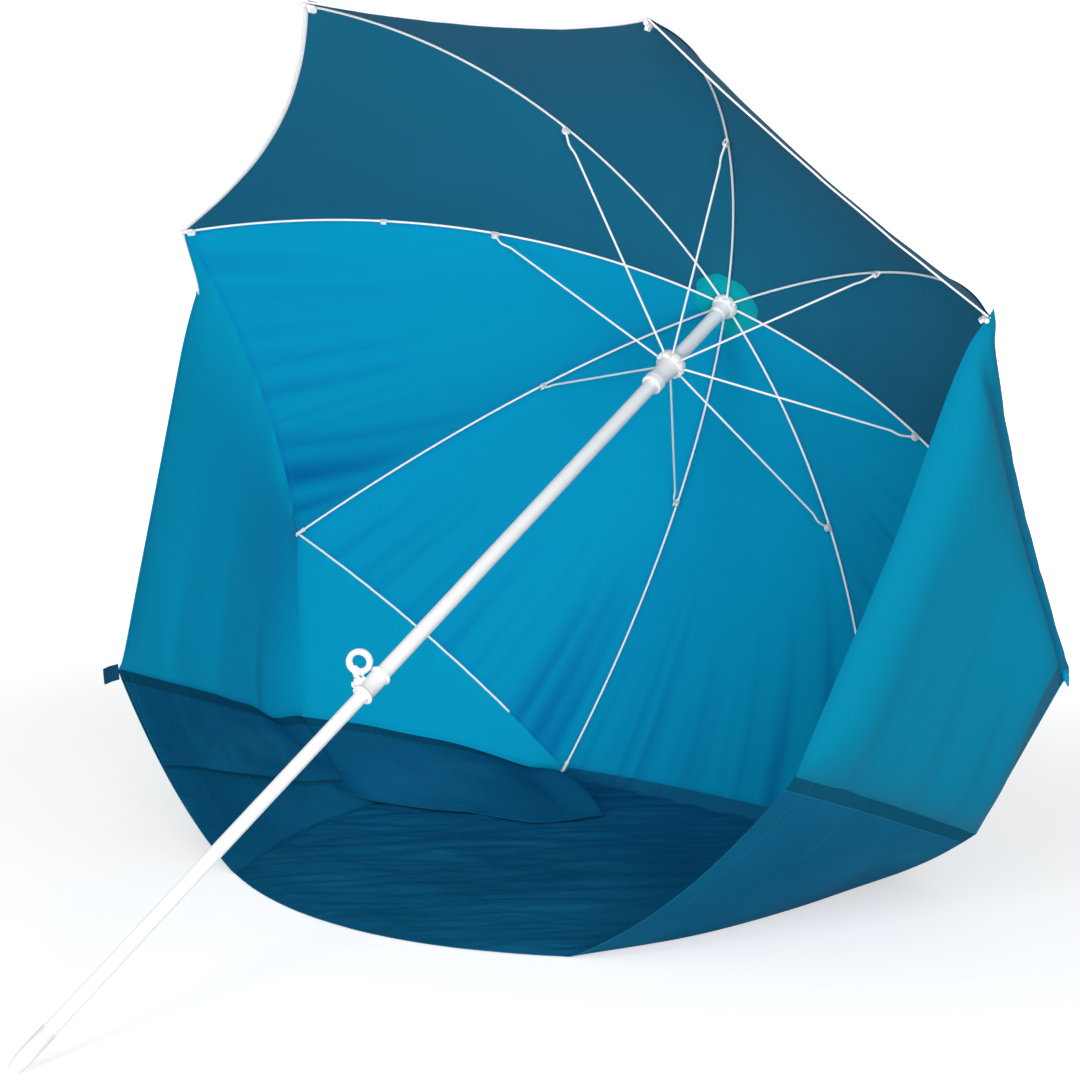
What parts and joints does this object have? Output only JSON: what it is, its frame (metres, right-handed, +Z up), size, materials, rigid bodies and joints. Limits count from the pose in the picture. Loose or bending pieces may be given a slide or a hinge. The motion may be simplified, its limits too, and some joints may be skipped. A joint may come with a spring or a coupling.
{
  "type": "beach tent",
  "caption": "Leaning beach umbrella with a telescoping spiked pole, whose rim carries side walls, a floor sheet and inner flaps, so that it stands as an open half tent.",
  "frame": {"origin": "on the ground, below the middle of the whole tent's box, with the ribwork open", "axes": "+Z up, +X to the right for someone looking in through the opening, +Y to the back, away from the spike"},
  "size_m": [1.4906, 1.6846, 1.3111],
  "materials": {
    "white_coat": "white powder coat",
    "white_plastic": "moulded white plastic",
    "pin_steel": "bare steel pin",
    "dark_cloth": "woven polyester, dark petrol blue",
    "bright_cloth": "woven polyester, bright blue",
    "wall_cloth": "woven polyester, teal blue",
    "navy_sheet": "coated cloth, navy",
    "patch_cloth": "woven patch, turquoise",
    "navy_webbing": "woven tape, navy"
  },
  "bodies": {
    "upper_pole_and_cloth": {"upper_tube": "white_coat", "clamp_sleeve": "white_plastic", "clamp_pin": "pin_steel", "hub": "white_plastic", "top_cap": "white_plastic", "gore_1": "dark_cloth", "gore_2": "dark_cloth", "gore_3": "dark_cloth", "gore_4": "bright_cloth", "gore_5": "bright_cloth", "gore_6": "bright_cloth", "gore_7": "bright_cloth", "gore_8": "dark_cloth", "hub_patch": "patch_cloth", "left_wall": "wall_cloth", "right_wall": "wall_cloth", "left_rear_wall": "wall_cloth", "right_rear_wall": "wall_cloth", "left_band": "navy_sheet", "right_band": "navy_sheet", "left_flap": "navy_sheet", "right_flap": "navy_sheet", "floor_sheet": "navy_sheet", "peg_loop": "navy_webbing"},
    "lower_pole": {"lower_tube": "white_coat", "ground_spike": "white_plastic"},
    "clamp_lever": {"clamp_lever": "white_plastic"},
    "runner": {"runner": "white_plastic"},
    "rib_arm_1": {"rib_1": "white_coat", "rib_tip_1": "white_plastic", "rib_bracket_1": "white_plastic"},
    "strut_arm_1": {"strut_1": "white_coat"},
    "rib_arm_2": {"rib_2": "white_coat", "rib_tip_2": "white_plastic", "rib_bracket_2": "white_plastic"},
    "strut_arm_2": {"strut_2": "white_coat"},
    "rib_arm_3": {"rib_3": "white_coat", "rib_tip_3": "white_plastic", "rib_bracket_3": "white_plastic"},
    "strut_arm_3": {"strut_3": "white_coat"},
    "rib_arm_4": {"rib_4": "white_coat", "rib_tip_4": "white_plastic", "rib_bracket_4": "white_plastic"},
    "strut_arm_4": {"strut_4": "white_coat"},
    "rib_arm_5": {"rib_5": "white_coat", "rib_tip_5": "white_plastic", "rib_bracket_5": "white_plastic"},
    "strut_arm_5": {"strut_5": "white_coat"},
    "rib_arm_6": {"rib_6": "white_coat", "rib_tip_6": "white_plastic", "rib_bracket_6": "white_plastic"},
    "strut_arm_6": {"strut_6": "white_coat"},
    "rib_arm_7": {"rib_7": "white_coat", "rib_tip_7": "white_plastic", "rib_bracket_7": "white_plastic"},
    "strut_arm_7": {"strut_7": "white_coat"},
    "rib_arm_8": {"rib_8": "white_coat", "rib_tip_8": "white_plastic", "rib_bracket_8": "white_plastic"},
    "strut_arm_8": {"strut_8": "white_coat"}
  },
  "joints": [
    {"name": "runner_slide", "type": "slide", "parent": "upper_pole_and_cloth", "child": "runner", "axis": [0, -0.8851, -0.4654], "range_m": [0, 0.557]},
    {"name": "pole_telescope", "type": "slide", "parent": "upper_pole_and_cloth", "child": "lower_pole", "axis": [0, 0.8851, 0.4654], "range_m": [0, 0.68]},
    {"name": "lever_hinge", "type": "hinge", "parent": "upper_pole_and_cloth", "child": "clamp_lever", "pos_m": [-0.01379, -0.14718, 0.38384], "axis": [0.7071, -0.3291, 0.6259], "range_deg": [0, 110]},
    {"name": "rib_hinge_1", "type": "hinge", "parent": "upper_pole_and_cloth", "child": "rib_arm_1", "pos_m": [-0.00861, 0.72805, 0.8519], "axis": [0.9239, -0.1781, 0.3387], "range_deg": [0, 63.1]},
    {"name": "strut_hinge_1", "type": "hinge", "parent": "rib_arm_1", "child": "strut_arm_1", "pos_m": [-0.14781, 0.49773, 1.1105], "axis": [0.9239, -0.1781, 0.3387], "range_deg": [-126.1, 0]},
    {"name": "rib_hinge_2", "type": "hinge", "parent": "upper_pole_and_cloth", "child": "rib_arm_2", "pos_m": [0.00861, 0.72805, 0.8519], "axis": [0.9239, 0.1781, -0.3387], "range_deg": [0, 63.1]},
    {"name": "strut_hinge_2", "type": "hinge", "parent": "rib_arm_2", "child": "strut_arm_2", "pos_m": [0.14782, 0.49773, 1.1105], "axis": [0.9239, 0.1781, -0.3387], "range_deg": [-126.1, 0]},
    {"name": "rib_hinge_3", "type": "hinge", "parent": "upper_pole_and_cloth", "child": "rib_arm_3", "pos_m": [0.02079, 0.73372, 0.84112], "axis": [0.3827, 0.4299, -0.8177], "range_deg": [0, 63.1]},
    {"name": "strut_hinge_3", "type": "hinge", "parent": "rib_arm_3", "child": "strut_arm_3", "pos_m": [0.35686, 0.59501, 0.92546], "axis": [0.3827, 0.4299, -0.8177], "range_deg": [-126.1, 0]},
    {"name": "rib_hinge_4", "type": "hinge", "parent": "upper_pole_and_cloth", "child": "rib_arm_4", "pos_m": [0.02079, 0.74173, 0.82588], "axis": [-0.3827, 0.4299, -0.8177], "range_deg": [0, 63.1]},
    {"name": "strut_hinge_4", "type": "hinge", "parent": "rib_arm_4", "child": "strut_arm_4", "pos_m": [0.35686, 0.73258, 0.66379], "axis": [-0.3827, 0.4299, -0.8177], "range_deg": [-126.1, 0]},
    {"name": "rib_hinge_5", "type": "hinge", "parent": "upper_pole_and_cloth", "child": "rib_arm_5", "pos_m": [0.00861, 0.7474, 0.8151], "axis": [-0.9239, 0.1781, -0.3387], "range_deg": [0, 63.1]},
    {"name": "strut_hinge_5", "type": "hinge", "parent": "rib_arm_5", "child": "strut_arm_5", "pos_m": [0.14782, 0.82986, 0.47876], "axis": [-0.9239, 0.1781, -0.3387], "range_deg": [-126.1, 0]},
    {"name": "rib_hinge_6", "type": "hinge", "parent": "upper_pole_and_cloth", "child": "rib_arm_6", "pos_m": [-0.00861, 0.7474, 0.8151], "axis": [-0.9239, -0.1781, 0.3387], "range_deg": [0, 63.1]},
    {"name": "strut_hinge_6", "type": "hinge", "parent": "rib_arm_6", "child": "strut_arm_6", "pos_m": [-0.14781, 0.82986, 0.47876], "axis": [-0.9239, -0.1781, 0.3387], "range_deg": [-126.1, 0]},
    {"name": "rib_hinge_7", "type": "hinge", "parent": "upper_pole_and_cloth", "child": "rib_arm_7", "pos_m": [-0.02078, 0.74173, 0.82588], "axis": [-0.3827, -0.4299, 0.8177], "range_deg": [0, 63.1]},
    {"name": "strut_hinge_7", "type": "hinge", "parent": "rib_arm_7", "child": "strut_arm_7", "pos_m": [-0.35686, 0.73258, 0.66379], "axis": [-0.3827, -0.4299, 0.8177], "range_deg": [-126.1, 0]},
    {"name": "rib_hinge_8", "type": "hinge", "parent": "upper_pole_and_cloth", "child": "rib_arm_8", "pos_m": [-0.02078, 0.73372, 0.84112], "axis": [0.3827, -0.4299, 0.8177], "range_deg": [0, 63.1]},
    {"name": "strut_hinge_8", "type": "hinge", "parent": "rib_arm_8", "child": "strut_arm_8", "pos_m": [-0.35686, 0.59501, 0.92546], "axis": [0.3827, -0.4299, 0.8177], "range_deg": [-126.1, 0]}
  ],
  "couplings": [
    {"joint": "rib_hinge_1", "follows": "runner_slide", "rad_per_m": 1.9741},
    {"joint": "strut_hinge_1", "follows": "runner_slide", "rad_per_m": -3.9481},
    {"joint": "rib_hinge_2", "follows": "runner_slide", "rad_per_m": 1.9741},
    {"joint": "strut_hinge_2", "follows": "runner_slide", "rad_per_m": -3.9481},
    {"joint": "rib_hinge_3", "follows": "runner_slide", "rad_per_m": 1.9741},
    {"joint": "strut_hinge_3", "follows": "runner_slide", "rad_per_m": -3.9481},
    {"joint": "rib_hinge_4", "follows": "runner_slide", "rad_per_m": 1.9741},
    {"joint": "strut_hinge_4", "follows": "runner_slide", "rad_per_m": -3.9481},
    {"joint": "rib_hinge_5", "follows": "runner_slide", "rad_per_m": 1.9741},
    {"joint": "strut_hinge_5", "follows": "runner_slide", "rad_per_m": -3.9481},
    {"joint": "rib_hinge_6", "follows": "runner_slide", "rad_per_m": 1.9741},
    {"joint": "strut_hinge_6", "follows": "runner_slide", "rad_per_m": -3.9481},
    {"joint": "rib_hinge_7", "follows": "runner_slide", "rad_per_m": 1.9741},
    {"joint": "strut_hinge_7", "follows": "runner_slide", "rad_per_m": -3.9481},
    {"joint": "rib_hinge_8", "follows": "runner_slide", "rad_per_m": 1.9741},
    {"joint": "strut_hinge_8", "follows": "runner_slide", "rad_per_m": -3.9481}
  ]
}
